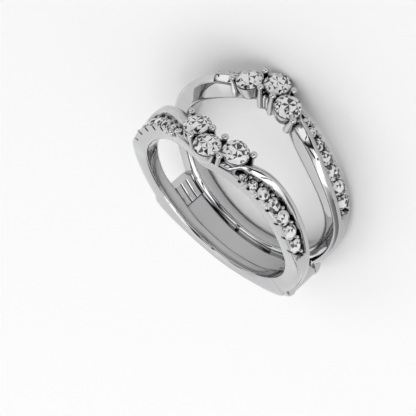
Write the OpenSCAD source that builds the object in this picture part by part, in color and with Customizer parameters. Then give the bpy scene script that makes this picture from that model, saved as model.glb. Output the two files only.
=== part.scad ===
// Ring guard enhancer: two contoured bands joined by a base, laid on the side of the rear band.
// All sizes are in millimetres. The ring is drawn upright, with X across the finger hole, Y along
// the hole's axis and Z up to the stones, and each node is then laid over as it rests by itself.

/* [Band] */
// Inside diameter of the finger hole
finger_d = 17.3; // [16.5:0.1:18.5]
// Height of the bevel on the edge between the finger surface and a band's outer face
outer_bevel = 0.25; // [0.15:0.05:0.3]
// Height of the bevel on the edge between the finger surface and the gap
gap_bevel = 0.6; // [0.4:0.05:0.7]

/* [Base] */
// Angle from the top at which the base starts to join the two bands
base_start = 128; // [124:1:132]
// Angle from the top at which the raised pad at each end of the base stops
pad_end = 142; // [138:1:146]
// Depth of the channel in the base below the finger surface
channel_depth = 0.75; // [0.6:0.05:0.8]
// Depth of the two pads below the finger surface
pad_depth = 0.55; // [0.4:0.05:0.6]

/* [Main stones] */
// Diameter of each of the six main stones
main_d = 2.5; // [2.3:0.05:2.55]
// Height of their girdles above the finger surface
main_h = 2.55; // [2.5:0.05:2.7]
// Distance of the two middle stones from the plane between the bands
middle_s = 4.78; // [4.7:0.02:4.9]
// Distance of the four side stones from that plane
side_s = 3.52; // [3.44:0.02:3.6]
// Angle of the side stones from the top
side_angle = 12.1; // [12:0.1:12.6]
// Radius of a main prong's post
post_r = 0.245; // [0.2:0.005:0.25]
// Radius of the ball on a main prong
ball_r = 0.34; // [0.28:0.01:0.36]
// Radius of the rounded foot of an open prong beside the middle stone
foot_r = 0.36; // [0.3:0.01:0.4]
// Radius of the narrow rib beside that foot
rib_r = 0.2; // [0.16:0.01:0.24]

/* [Pave stones] */
// Height of the small stones' girdles above the finger surface
pave_h = 1.5; // [1.45:0.05:1.6]
// Radius of the small beads that hold them
bead_r = 0.195; // [0.16:0.005:0.22]
// Width of the slot in the rim under each small stone
slot_w = 0.31; // [0.2:0.01:0.35]
// Clearance between a stone and the metal round it
seat_gap = 0.03; // [0.02:0.01:0.05]

/* [Hidden] */
finger_r = finger_d / 2;

// A band's section, a row for each angle from the top. First the angle, then five distances
// from the plane between the bands: gap face, crest of the ribbon, wall of the ribbon, outer
// face at the rim, outer face at the finger. Then four heights above the finger surface:
// gap shoulder, crest, wall and rim. Last comes the rounding of the rim's edge.
ANGLE = 0; GAP_S = 1; CREST_S = 2; WALL_S = 3; RIM_S = 4; FOOT_S = 5;
GAP_H = 6; CREST_H = 7; WALL_H = 8; RIM_H = 9; EDGE = 10;
stations = [
    [0,   3.90, 4.40, 4.90, 5.42, 5.45, 1.22, 1.35, 1.35, 1.28, 0.12],
    [5,   3.80, 4.60, 4.95, 5.36, 5.36, 1.20, 1.42, 1.40, 1.28, 0.12],
    [10,  3.55, 4.70, 5.00, 5.22, 5.20, 1.20, 1.85, 1.70, 1.32, 0.12],
    [15,  3.15, 4.30, 4.85, 5.03, 5.03, 1.40, 2.15, 1.90, 1.40, 0.12],
    [20,  2.80, 3.75, 4.50, 4.88, 4.88, 1.85, 2.45, 2.05, 1.52, 0.12],
    [25,  2.50, 3.25, 3.95, 4.73, 4.72, 2.15, 2.70, 2.25, 1.58, 0.12],
    [30,  2.22, 2.88, 3.52, 4.60, 4.57, 2.30, 2.80, 2.35, 1.60, 0.12],
    [38,  1.95, 2.48, 3.02, 4.48, 4.41, 2.25, 2.65, 2.30, 1.60, 0.12],
    [48,  1.76, 2.18, 2.68, 4.38, 4.29, 2.00, 2.30, 2.10, 1.60, 0.12],
    [60,  1.70, 2.08, 2.57, 4.27, 4.17, 1.82, 2.05, 1.95, 1.60, 0.12],
    [72,  1.74, 2.10, 2.55, 4.15, 4.02, 1.75, 1.92, 1.87, 1.62, 0.13],
    [81,  1.78, 2.15, 2.62, 3.98, 3.86, 1.72, 1.88, 1.86, 1.74, 0.20],
    [90,  1.78, 2.22, 2.75, 3.70, 3.63, 1.70, 1.85, 1.85, 1.78, 0.35],
    [102, 1.70, 2.15, 2.65, 3.42, 3.40, 1.66, 1.83, 1.83, 1.74, 0.42],
    [114, 1.58, 2.00, 2.50, 3.18, 3.17, 1.68, 1.84, 1.84, 1.74, 0.45],
    [124, 1.35, 1.80, 2.35, 3.01, 3.01, 1.76, 1.92, 1.92, 1.80, 0.45],
    [126.5, 1.30, 1.74, 2.31, 2.98, 2.98, 1.78, 1.94, 1.94, 1.82, 0.45],
    [129, 1.25, 1.68, 2.27, 2.94, 2.94, 2.70, 2.86, 2.66, 2.18, 0.45],
    [132, 1.18, 1.60, 2.20, 2.90, 2.90, 2.82, 2.98, 2.76, 2.22, 0.45],
    [139, 1.15, 1.55, 2.15, 2.82, 2.82, 2.48, 2.64, 2.46, 1.98, 0.45],
    [152, 1.15, 1.55, 2.10, 2.72, 2.70, 1.64, 1.78, 1.72, 1.42, 0.45],
    [166, 1.15, 1.55, 2.10, 2.64, 2.60, 1.10, 1.24, 1.24, 1.12, 0.45],
    [180, 1.15, 1.55, 2.10, 2.62, 2.57, 1.08, 1.20, 1.20, 1.08, 0.45]
];

// The row of small stones on one arm: angle from the top, distance from the mid plane, diameter
pave_rows = [
    [22.9, 4.31, 0.80],
    [28.6, 4.04, 0.98],
    [35.6, 3.76, 1.24],
    [43.6, 3.56, 1.40],
    [52.4, 3.42, 1.46],
    [61.8, 3.38, 1.50],
    [71.6, 3.34, 1.46]
];
pave_n = len(pave_rows);

// The groove for the small stones: where it starts and ends, and the length of its end slope
groove_start = 18;
groove_end = 78.5;
groove_slope = 1.6;

// Proportions of a round brilliant, as shares of its diameter
table_share = 0.57;
crown_share = 0.15;
girdle_share = 0.03;
pavilion_share = 0.43;

// Height of the slots' floor above the finger surface
slot_floor = 1.11;
// Turn of the two beads past the last small stone from the row's own direction
end_bead_turn = 26;

// Height at which a prong's foot has narrowed to its post
post_start = 2.1;
// Radius of the foot of the open prong at a cluster's end
end_foot_r = 0.42;
// Angle of the narrow ribs from the top, and the height of their upper end
rib_angle = 1;
rib_top = 2.05;

// Depth of the finger surface's blank, which the finger hole then cuts away
blank_depth = 0.5;
// Farthest that the hole's cutter reaches along Y
cutter_y = 8;
// Sides of the finger hole's cutter
hole_sides = 94;

// The ring rests on the rear middle stone and the rear edge of its base
last_row = stations[len(stations) - 1];
rest_top = [middle_s + main_d / 2, finger_r + main_h];
rest_bottom = [last_row[RIM_S], finger_r + last_row[RIM_H] - last_row[EDGE]];
rest_tilt = atan2(rest_top[0] - rest_bottom[0], rest_top[1] + rest_bottom[1]);

SIDES = [-1, 1];
MAIN_NAMES = ["left", "middle", "right"];
BAND_NAMES = ["front", "rear"];
ARM_NAMES = ["left", "right"];
function main_name(b, i) = str(BAND_NAMES[b], "_", MAIN_NAMES[i], "_stone");
function pave_name(b, a, i) = str(BAND_NAMES[b], "_", ARM_NAMES[a], "_pave_", i + 1);

// Smooth values between the rows of the section table

function row_before(a, i = 0) =
    i >= len(stations) - 2 || a < stations[i + 1][ANGLE] ? i : row_before(a, i + 1);
function row_slope(i, k) =
    i == 0 || i == len(stations) - 1 ? 0 :
    (stations[i + 1][k] - stations[i - 1][k]) / (stations[i + 1][ANGLE] - stations[i - 1][ANGLE]);
function column(a, k) =
    let (i = row_before(a), span = stations[i + 1][ANGLE] - stations[i][ANGLE],
         t = (a - stations[i][ANGLE]) / span)
    stations[i][k] * (2 * t * t * t - 3 * t * t + 1)
    + row_slope(i, k) * span * (t * t * t - 2 * t * t + t)
    + stations[i + 1][k] * (3 * t * t - 2 * t * t * t)
    + row_slope(i + 1, k) * span * (t * t * t - t * t);

// How far along the groove's depth an angle is, from 0 outside it to 1 inside it
function groove(a) =
    max(0, min(1, (a - groove_start) / groove_slope, (groove_end + groove_slope - a) / groove_slope));

// Height of the groove's floor, just under the tips of the stones nearest to the angle
function pave_d(a) = lookup(a, [for (p = pave_rows) [p[0], p[2]]]);
function floor_h(a) = pave_h - pavilion_share * pave_d(a) - 2 * seat_gap;

// Half the width that a small stone takes up at an angle, with its clearance
function arc_mm(a) = a * PI / 180 * (finger_r + pave_h);
function stone_reach(p, a) =
    let (r = p[2] / 2 + seat_gap, d = arc_mm(a - p[0])) abs(d) < 0.62 * p[2] ? r : 0;
function lip_s(a) =
    let (rim = column(a, RIM_S), wanted = rim - 0.3,
         reach = max([for (p = pave_rows) p[1] + stone_reach(p, a)
                      - (stone_reach(p, a) == 0 ? 10 : 0)]))
    min(rim - 0.05, max(wanted, reach));
function wall_s(a) =
    let (wall = column(a, WALL_S),
         reach = min([for (p = pave_rows) p[1] - stone_reach(p, a)
                      + (stone_reach(p, a) == 0 ? 10 : 0)]))
    min(wall, reach);

// One band's section at an angle, as heights above the finger surface and distances from the
// mid plane, from the finger edge of the outer face round over the top to the gap face
function section(a) =
    let (rim = column(a, RIM_S), foot = column(a, FOOT_S), gap = column(a, GAP_S),
         rim_h = column(a, RIM_H), gap_h = column(a, GAP_H), wall_h = column(a, WALL_H),
         g = groove(a), lip = g > 0 ? lip_s(a) : rim - column(a, EDGE) - 0.12,
         e = min(column(a, EDGE), rim - lip - 0.02),
         wall = g > 0 ? wall_s(a) : column(a, WALL_S),
         top = (rim_h + wall_h) / 2)
    [
        [-blank_depth, foot - blank_depth - outer_bevel],
        [outer_bevel, foot],
        [rim_h - e, rim],
        [rim_h, rim - e],
        [g * floor_h(a) + (1 - g) * (rim_h + 0.3 * (top - rim_h)), lip],
        [g * floor_h(a) + (1 - g) * top, wall + 0.02],
        [wall_h, wall],
        [column(a, CREST_H), column(a, CREST_S)],
        [gap_h, gap + 0.2],
        [gap_h - 0.25, gap],
        [gap_bevel, gap],
        [-blank_depth, gap + gap_bevel + blank_depth - 0.1]
    ];

// Angles at which a band's section is drawn, on one side of the ring
stone_angles = [for (i = [0:pave_n - 1]) let (p = pave_rows[i], w = p[2] * 180 / PI / (finger_r + pave_h))
    each [p[0] - 0.3 * w, p[0] + 0.3 * w,
          (i < pave_n - 1 ? (p[0] + pave_rows[i + 1][0]) / 2 : p[0] + 0.6 * w)]];
half_angles = concat([0, 5.5, 12, groove_start, groove_start + groove_slope], stone_angles,
    [groove_end, groove_end + groove_slope, 86, 96, 107, 118, 126.4, 129, 134, 141, 146, 152, 165, 180]);
function mirrored(list) =
    concat([for (i = [len(list) - 1:-1:1]) -list[i]], [for (i = [0:len(list) - 2]) list[i]]);
band_angles = mirrored(half_angles);

// A point at an angle from the top, at a height above the finger surface
function at(a, h, y) = [(finger_r + h) * sin(a), y, (finger_r + h) * cos(a)];

// A solid swept through rings of points, closed into a loop or capped at both ends
module swept(rings, closed = true) {
    n = len(rings[0]);
    m = len(rings);
    last = closed ? m - 1 : m - 2;
    sides = [for (j = [0:last], i = [0:n - 1])
        let (a = j * n + i, b = j * n + (i + 1) % n, k = ((j + 1) % m) * n)
        each [[a, b, k + (i + 1) % n], [a, k + (i + 1) % n, k + i]]];
    caps = closed ? [] : [[for (i = [n - 1:-1:0]) i], [for (i = [0:n - 1]) (m - 1) * n + i]];
    polyhedron([for (r = rings) each r], concat(sides, caps), convexity = 8);
}

module band_blank() {
    swept([for (a = band_angles) [for (p = section(abs(a))) at(a, p[0], -p[1])]]);
}

// The slots in the rim, one under each small stone
module rim_slots() {
    for (side = SIDES, p = pave_rows)
        rotate([0, side * p[0], 0]) translate([-slot_w / 2, -column(p[0], RIM_S) - 1, finger_r + slot_floor])
            cube([slot_w, 1.2, 2]);
}

// A bead: a short post with a domed head, standing on the groove's floor
module bead(a, s) {
    h = pave_h + 0.14 - (floor_h(min(max(a, 23), 72)) - 0.15);
    rotate([0, a, 0]) translate([0, -s, finger_r + pave_h + 0.14 - h])
        rotate_extrude($fn = 6)
            polygon([[0, 0], [bead_r, 0], [bead_r, h], [0, h + 0.19]]);
}

// The beads between two neighbours, on both sides of the row, just clear of the stones
module beads_between(p, q) {
    a = (p[0] + q[0]) / 2;
    run = arc_mm(q[0] - p[0]);
    across = q[1] - p[1];
    half = norm([run, across]) / 2;
    out = sqrt(max(0.01, pow(max(p[2], q[2]) / 2 + bead_r + seat_gap, 2) - half * half));
    turn = across / norm([run, across]);
    for (k = SIDES)
        bead(a - k * out * turn / arc_mm(1), (p[1] + q[1]) / 2 + k * out * run / norm([run, across]));
}

module arm_beads() {
    for (i = [0:pave_n - 2]) beads_between(pave_rows[i], pave_rows[i + 1]);
    last = pave_rows[pave_n - 1];
    reach = last[2] / 2 + bead_r + 2 * seat_gap;
    for (k = SIDES) bead(last[0] + reach * cos(end_bead_turn) / arc_mm(1), last[1] + k * reach * sin(end_bead_turn));
}

// An open cup under a main stone, whose seat stays clear of the stone's pavilion
module cup(a, s) {
    r = main_d / 2;
    rotate([0, a, 0]) translate([0, -s, finger_r + main_h])
        rotate_extrude($fn = 12)
            polygon([[r - 0.06, -0.14], [r + 0.06, -0.12], [r - 0.1, -0.9], [r - 0.36, -1.5],
                     [r - 0.75, -1.5], [r - 0.68, -1.1]]);
}

// A main prong: a post from a height above the finger surface, with a ball at its tip. An open
// one stands on a wider rounded foot.
module prong(a, s, from, foot) {
    tip = main_h + 0.3;
    low = foot > post_r ? [[0.7 * foot, from], [foot, from + 0.2], [0.6 * foot + 0.4 * post_r, from / 2 + 0.9],
                           [post_r, post_start]] : [[post_r, from]];
    rotate([0, a, 0]) translate([0, -s, finger_r])
        rotate_extrude($fn = 10)
            polygon(concat([[0, from]], low, [[post_r, tip - 0.8 * ball_r], [ball_r, tip - 0.15 * ball_r],
                     [0.8 * ball_r, tip + 0.6 * ball_r], [0, tip + ball_r]]));
}

// A narrow rib beside a prong's foot, rounded at its lower end
module rib(a, s, from) {
    rotate([0, a, 0]) translate([0, -s, finger_r])
        rotate_extrude($fn = 6)
            polygon([[0, from], [0.7 * rib_r, from], [rib_r, from + 0.12], [rib_r, rib_top - 0.2],
                     [0, rib_top]]);
}

// A short web that ties a prong to the cup beside it, both given by angle and distance
module web(a, s, to_a, to_s, h) {
    run = [(finger_r + h) * sin(to_a - a), s - to_s];
    rotate([0, a, 0]) translate([0, -s, finger_r + h]) rotate([0, 0, atan2(run[1], run[0])])
        translate([0, -0.13, -0.45]) cube([norm(run) - main_d / 2 + 0.4, 0.26, 0.9]);
}

module cluster() {
    cup(0, middle_s);
    for (side = SIDES) {
        cup(side * side_angle, side_s);
        prong(side * 3.7, 3.22, 0.15, foot_r);
        rib(side * rib_angle, 3.24, 0.3);
        web(side * 3.7, 3.22, 0, middle_s, 1.6);
        web(side * 3.7, 3.22, side * side_angle, side_s, 1.6);
        prong(side * 8.6, 5.06, 1.2, post_r);
        prong(side * 18.7, 2.66, 0.75, end_foot_r);
        web(side * 18.7, 2.66, side * side_angle, side_s, 1.6);
    }
}

// One band with its cluster and beads, before the finger hole is cut
module band() {
    difference() {
        band_blank();
        rim_slots();
    }
    cluster();
    for (side = [0, 1]) mirror([side, 0, 0]) arm_beads();
}

// The base between the bands, with a channel on the finger side and a raised pad at each end
base_angles = [for (a = [base_start, 132, 136, pad_end, pad_end + 0.6, 150, 158, 166, 173, 180]) a];
function base_section(a) =
    let (w = column(a, GAP_S) + 0.45, inner = a <= pad_end ? pad_depth : channel_depth,
         outer = column(a, GAP_H) + 0.08)
    [[inner, -w], [outer, -w], [outer, w], [inner, w]];
module base() {
    list = concat(base_angles, [for (i = [len(base_angles) - 2:-1:0]) 360 - base_angles[i]]);
    swept([for (a = list) [for (p = base_section(a > 180 ? 360 - a : a)) at(a, p[0], p[1])]],
          closed = false);
}

// The whole casting: both bands and the base in one piece, with a true finger hole
module mounting_upright() {
    resize([0, 0, 0]) difference() {
        union() {
            band();
            mirror([0, 1, 0]) band();
            base();
        }
        rotate([90, 0, 0]) cylinder(r = finger_r, h = 2 * cutter_y, center = true, $fn = hole_sides);
    }
}

// A round brilliant with its girdle plane at Z = 0: table, stars, kites, girdle and pavilion
module brilliant(d) {
    r = d / 2;
    crown = crown_share * d;
    girdle = girdle_share * d / 2;
    table = [for (i = [0:7]) [table_share * r * cos(45 * i), table_share * r * sin(45 * i), girdle + crown]];
    star = [for (i = [0:7]) [0.78 * r * cos(45 * i + 22.5), 0.78 * r * sin(45 * i + 22.5), girdle + 0.5 * crown]];
    upper = [for (i = [0:15]) [r * cos(22.5 * i), r * sin(22.5 * i), girdle]];
    lower = [for (i = [0:15]) [r * cos(22.5 * i), r * sin(22.5 * i), -girdle]];
    main = [for (i = [0:7]) [0.36 * r * cos(45 * i + 22.5), 0.36 * r * sin(45 * i + 22.5),
                             -girdle - 0.66 * pavilion_share * d]];
    culet = [[0, 0, -pavilion_share * d]];
    T = 0; S = 8; U = 16; L = 32; M = 48; C = 56;
    faces = concat(
        [[for (i = [7:-1:0]) T + i]],
        [for (i = [0:7]) [T + i, T + (i + 1) % 8, S + i]],
        [for (i = [0:7]) each [[T + i, S + i, U + 2 * i], [T + i, U + 2 * i, S + (i + 7) % 8]]],
        [for (i = [0:7]) each [[S + i, U + 2 * i + 1, U + 2 * i], [S + i, U + (2 * i + 2) % 16, U + 2 * i + 1]]],
        [for (i = [0:15]) each [[U + i, U + (i + 1) % 16, L + (i + 1) % 16], [U + i, L + (i + 1) % 16, L + i]]],
        [for (i = [0:7]) each [[L + 2 * i, L + 2 * i + 1, M + i], [L + 2 * i + 1, L + (2 * i + 2) % 16, M + i]]],
        [for (i = [0:7]) each [[L + (2 * i + 2) % 16, M + (i + 1) % 8, C], [L + (2 * i + 2) % 16, C, M + i]]]
    );
    polyhedron(concat(table, star, upper, lower, main, culet), faces, convexity = 2);
}

// Lays the ring over on the side of its rear band
module laid() {
    rotate([-(90 - rest_tilt), 0, 0]) children();
}

module mounting() {
    color([0.84, 0.84, 0.86]) laid() mounting_upright();
}

module stone(b, a, s, h, d) {
    color([0.93, 0.96, 0.98]) laid() mirror([0, b, 0]) rotate([0, a, 0])
        translate([0, -s, finger_r + h]) brilliant(d);
}

module main_stone(b, i) {
    stone(b, (i - 1) * side_angle, i == 1 ? middle_s : side_s, main_h, main_d);
}

module pave_stone(b, a, i) {
    stone(b, SIDES[a] * pave_rows[i][0], pave_rows[i][1], pave_h, pave_rows[i][2]);
}

mounting();
for (b = [0, 1], i = [0:2])
    main_stone(b, i);
for (b = [0, 1], a = [0, 1], i = [0:pave_n - 1])
    pave_stone(b, a, i);
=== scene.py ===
import math

import bmesh
import bpy
import numpy as np
from mathutils import Matrix, Vector


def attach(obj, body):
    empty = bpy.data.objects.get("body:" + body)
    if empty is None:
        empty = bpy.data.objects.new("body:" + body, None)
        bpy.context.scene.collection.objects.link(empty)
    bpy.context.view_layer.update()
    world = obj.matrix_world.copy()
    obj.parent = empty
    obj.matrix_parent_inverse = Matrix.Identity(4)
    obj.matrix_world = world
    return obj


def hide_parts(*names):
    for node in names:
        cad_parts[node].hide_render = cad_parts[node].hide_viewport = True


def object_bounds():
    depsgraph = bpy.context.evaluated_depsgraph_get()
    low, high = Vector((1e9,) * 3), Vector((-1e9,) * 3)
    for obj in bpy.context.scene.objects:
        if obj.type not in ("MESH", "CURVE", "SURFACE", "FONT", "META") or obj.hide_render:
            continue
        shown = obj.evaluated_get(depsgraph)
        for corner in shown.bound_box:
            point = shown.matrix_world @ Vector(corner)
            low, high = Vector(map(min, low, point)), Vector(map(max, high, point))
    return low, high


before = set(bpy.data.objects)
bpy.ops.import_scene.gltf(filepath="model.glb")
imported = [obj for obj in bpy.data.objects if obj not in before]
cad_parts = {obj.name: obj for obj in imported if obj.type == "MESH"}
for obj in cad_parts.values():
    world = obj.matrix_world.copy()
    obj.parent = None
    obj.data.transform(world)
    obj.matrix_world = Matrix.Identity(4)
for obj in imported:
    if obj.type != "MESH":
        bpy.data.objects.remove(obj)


def plain_box(box):
    """A box as plain lists of numbers."""
    return [[float(x) for x in corner] for corner in box]


cad_box = plain_box(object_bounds())

# sizes in millimetres and angles in degrees from the top of the ring: _S is a distance from the
# mid plane between the bands, _H a height over the finger surface, _D a diameter, _R a radius
MM = 0.001
FINGER_R = 8.65
MAIN_D, MAIN_H = 2.5, 2.55
MIDDLE_S, SIDE_S, SIDE_ANGLE = 4.78, 3.52, 12.1
PAVE_H = 1.5
SEAT_GAP = 0.03

# one band's section at angles from the top down, the same for both of its arms, in columns:
# angle, gap_s, crest_s, wall_s, rim_s, foot_s, gap_h, crest_h, wall_h, rim_h, edge
STATIONS = np.array([
    [0, 3.90, 4.40, 4.90, 5.42, 5.45, 1.22, 1.35, 1.35, 1.28, 0.12],
    [5, 3.80, 4.60, 4.95, 5.36, 5.36, 1.20, 1.42, 1.40, 1.28, 0.12],
    [10, 3.55, 4.70, 5.00, 5.22, 5.20, 1.20, 1.85, 1.70, 1.32, 0.12],
    [15, 3.15, 4.30, 4.85, 5.03, 5.03, 1.40, 2.15, 1.90, 1.40, 0.12],
    [20, 2.80, 3.75, 4.50, 4.88, 4.88, 1.85, 2.45, 2.05, 1.52, 0.12],
    [25, 2.50, 3.25, 3.95, 4.73, 4.72, 2.15, 2.70, 2.25, 1.58, 0.12],
    [30, 2.22, 2.88, 3.52, 4.60, 4.57, 2.30, 2.80, 2.35, 1.60, 0.12],
    [38, 1.95, 2.48, 3.02, 4.48, 4.41, 2.25, 2.65, 2.30, 1.60, 0.12],
    [48, 1.76, 2.18, 2.68, 4.38, 4.29, 2.00, 2.30, 2.10, 1.60, 0.12],
    [60, 1.70, 2.08, 2.57, 4.27, 4.17, 1.82, 2.05, 1.95, 1.60, 0.12],
    [72, 1.74, 2.10, 2.55, 4.15, 4.02, 1.75, 1.92, 1.87, 1.62, 0.13],
    [81, 1.78, 2.15, 2.62, 3.98, 3.86, 1.72, 1.88, 1.86, 1.74, 0.20],
    [90, 1.78, 2.22, 2.75, 3.70, 3.63, 1.70, 1.85, 1.85, 1.78, 0.35],
    [102, 1.70, 2.15, 2.65, 3.42, 3.40, 1.66, 1.83, 1.83, 1.74, 0.42],
    [114, 1.58, 2.00, 2.50, 3.18, 3.17, 1.68, 1.84, 1.84, 1.74, 0.45],
    [124, 1.35, 1.80, 2.35, 3.01, 3.01, 1.76, 1.92, 1.92, 1.80, 0.45],
    [125.6, 1.30, 1.74, 2.31, 2.98, 2.98, 1.78, 1.94, 1.94, 1.82, 0.45],
    [130.2, 1.25, 1.68, 2.27, 2.94, 2.94, 2.70, 2.86, 2.66, 2.18, 0.45],
    [132, 1.18, 1.60, 2.20, 2.90, 2.90, 2.82, 2.98, 2.76, 2.22, 0.45],
    [139, 1.15, 1.55, 2.15, 2.82, 2.82, 2.48, 2.64, 2.46, 1.98, 0.45],
    [152, 1.15, 1.55, 2.10, 2.72, 2.70, 1.64, 1.78, 1.72, 1.42, 0.45],
    [166, 1.15, 1.55, 2.10, 2.64, 2.60, 1.10, 1.24, 1.24, 1.12, 0.45],
    [180, 1.15, 1.55, 2.10, 2.62, 2.57, 1.08, 1.20, 1.20, 1.08, 0.45],
])
COLUMNS = range(1, 11)
GAP_S, CREST_S, WALL_S, RIM_S, FOOT_S, GAP_H, CREST_H, WALL_H, RIM_H, EDGE = COLUMNS

# where a band is drawn: from, to and step, finer along the groove and at the bottom block
BAND_STEPS = [(0, 17.5, 0.9), (17.5, 81.5, 0.36), (81.5, 124, 1.1), (124, 134, 0.3), (134, 180, 1.1)]
BAND_CREASE = 38

# the groove for the small stones, the lip of the rim beside it and the bevel where there is none
GROOVE_START, GROOVE_END, GROOVE_SLOPE = 18.0, 78.5, 1.6
LIP_WIDE, LIP_THIN, BEVEL = 0.3, 0.05, 0.12
# where the ribbon's wall turns aside for the small stones
WALL_TURN_START, WALL_TURN_SPAN = 14.5, 8.0

# where the step up to the thick block at the bottom starts and ends, how far outside the wall the
# rim's lip ends there, and the angle in which it gets there
STEP_START, STEP_END = 124, 132
BLOCK_LIP, BLOCK_LIP_SPAN = 0.3, 4

# the slot in the rim beside each small stone: half width, height of its floor's centre, top,
# and how far it reaches inside and outside the rim
SLOT_R, SLOT_H, SLOT_TOP = 0.15, 1.26, 2.2
SLOT_IN, SLOT_OUT = 0.26, 0.6
SLOT_ROUND_STEPS = 9

# the base between the bands, its fluted pads and the thin line where each pad ends, how far the
# base reaches into the bands and stands out from them, and its points across
BASE_START, PAD_END = 128.0, 142.0
LINE_START, LINE_END = PAD_END - 0.45, PAD_END + 0.3
PAD_DEPTH, CHANNEL_DEPTH, LINE_DEPTH = 0.55, 0.75, 0.18
PAD_PITCH, FLUTE_DEPTH, FLUTE_POWER = 0.74, 0.19, 3
BASE_REACH, BASE_SKIN, BASE_ACROSS = 0.4, 0.02, 121
BASE_CREASE = 35

# the main stones of one band: name, angle, distance from the mid plane
MAIN_PLACES = [("left", -SIDE_ANGLE, SIDE_S), ("middle", 0.0, MIDDLE_S), ("right", SIDE_ANGLE, SIDE_S)]

# the small stones of one arm: angle, distance from the mid plane, diameter
PAVE_ROWS = [
    (22.9, 4.31, 0.80),
    (28.6, 4.04, 0.98),
    (35.6, 3.76, 1.24),
    (43.6, 3.56, 1.40),
    (52.4, 3.42, 1.46),
    (61.8, 3.38, 1.50),
    (71.6, 3.34, 1.46),
]
PAVE_ANGLES = [angle for angle, _, _ in PAVE_ROWS]

# a cut stone's heights as shares of its diameter, and its rings of corners as shares of its radius
CROWN, GIRDLE, PAVILION = 0.15, 0.012, 0.43
TABLE_R, STAR_R, STAR_RISE = 0.57, 0.765, 0.53
LOWER_R, LOWER_DROP = 0.24, 0.77

# which upper facets are split at each step, by their least number of corners, and how far up a
# facet's own direction has to point
MAIN_SPLITS, PAVE_SPLITS = (8, 3), (5,)
UPPER_FACING = 0.2

# the small facets' painted reflections: which share is dark, which share is dark or between, and the tones of
# each
DARK_SHARE, DIM_SHARE = 0.32, 0.38
DARK_REFLECTIONS, DIM_REFLECTIONS, LIGHT_REFLECTION = (0.0, 0.03), (0.3, 0.7), 1.0

# a cup's outline: distance in from its stone's edge, depth under the girdle, rounding
CUP = [(0.06, 0.14, 0.02), (-0.06, 0.12, 0.03), (0.1, 1.0, 0.12),
       (0.22, 1.52, 0.06), (0.75, 1.5, 0.05), (0.68, 1.1, 0.1)]
CUP_SIDES, CUP_ROUND_STEPS = 72, 3

# prongs on one side of a cluster: angle, distance from the mid plane, height where the post
# starts, radius of its foot, and the stone whose cup a web ties it to
POST_R, BALL_R = 0.245, 0.34
PRONGS = [
    (3.7, 3.22, 0.15, 0.36, (0.0, MIDDLE_S)),
    (8.6, 5.06, 1.2, POST_R, None),
    (18.7, 2.66, 0.75, 0.42, (SIDE_ANGLE, SIDE_S)),
]
# a prong's foot: height over its start, share of the foot's radius
PRONG_FOOT = [(0, 0.45), (0.04, 0.75), (0.12, 0.94), (0.24, 1.0)]
# above it: the waist's share of that radius and its height, higher by a share of the start, the
# shoulder's height and how far the ball stands over the main stones' girdles
WAIST_SHARE, WAIST_H, WAIST_LIFT, SHOULDER_H = 0.94, 1.4, 0.2, 2.2
BALL_RISE = 0.3
# narrow rib beside each middle prong's foot: angle, distance, lower end, upper end, radius
RIB = (1.0, 3.24, 0.3, 2.05, 0.2)
# a rib's two ends: height over its lower end or under its upper end, share of its radius
RIB_FOOT = [(0, 0.5), (0.03, 0.8), (0.1, 1.0)]
RIB_TIP = [(0.2, 1.0), (0.06, 0.7), (0, 0.3)]

# webs between prongs and cups: height of the middle, reach inwards from the stone's edge, width,
# full height, rounding
WEB_H, WEB_REACH, WEB_WIDTH, WEB_HEIGHT, WEB_ROUND = 1.6, 0.35, 0.26, 0.9, 0.05
SETTING_CREASE = 50

# beads between the small stones: radius, length of the post under them, height over the girdles,
# and the angle to the row's line at which the two end beads stand
BEAD_R, BEAD_POST, BEAD_RISE, END_BEAD_TURN = 0.195, 0.7, 0.1, 26.0

# the least and the most size of a ball and of a bead, as shares in three directions
BALL_SIZES = (0.96, 0.96, 0.94), (1.0, 1.0, 1.0)
BEAD_SIZES = (0.9, 0.9, 0.9), (1.04, 1.04, 1.04)

# the ring lies on its rear middle stone and on the rear edge of its base
BOTTOM = STATIONS[-1]
REST_TILT = math.atan2(MIDDLE_S + MAIN_D / 2 - BOTTOM[RIM_S],
                       2 * FINGER_R + MAIN_H + BOTTOM[RIM_H] - BOTTOM[EDGE])


def to_row(points):
    """Points of the upright ring, in millimetres, laid over into the row's frame, in metres."""
    p = np.asarray(points, float).reshape(-1, 3)
    s, c = math.sin(REST_TILT), math.cos(REST_TILT)
    return np.stack([p[:, 0], p[:, 1] * s + p[:, 2] * c, -p[:, 1] * c + p[:, 2] * s], 1) * MM


def at(angle, height, y):
    """A point of the upright ring at an angle from the top and a height over the finger surface."""
    a = math.radians(angle)
    r = FINGER_R + height
    return (r * math.sin(a), y, r * math.cos(a))


def row_slope(a, v, j):
    """The slope at a row: flat at both ends, and gentle at the block's step, so that no ripple forms."""
    if j in (0, len(a) - 1):
        return 0.0
    if STEP_START <= a[j] <= STEP_END:
        before = (v[j] - v[j - 1]) / (a[j] - a[j - 1])
        after = (v[j + 1] - v[j]) / (a[j + 1] - a[j])
        return 0.0 if before * after <= 0 else math.copysign(min(abs(before), abs(after)), after)
    return (v[j + 1] - v[j - 1]) / (a[j + 1] - a[j - 1])


def column(angle, k):
    """A smooth value between the rows of the section table."""
    a, v = STATIONS[:, 0], STATIONS[:, k]
    i = int(min(max(np.searchsorted(a, angle, "right") - 1, 0), len(a) - 2))
    slope = [row_slope(a, v, j) for j in (i, i + 1)]
    span = a[i + 1] - a[i]
    t = (angle - a[i]) / span
    return (v[i] * (2 * t**3 - 3 * t**2 + 1) + slope[0] * span * (t**3 - 2 * t**2 + t)
            + v[i + 1] * (3 * t**2 - 2 * t**3) + slope[1] * span * (t**3 - t**2))


def groove(angle):
    """How deep the stones' groove is at an angle, from 0 outside it to 1 inside it."""
    start = (angle - GROOVE_START) / GROOVE_SLOPE
    end = (GROOVE_END + GROOVE_SLOPE - angle) / GROOVE_SLOPE
    return max(0.0, min(1.0, start, end))


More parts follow.
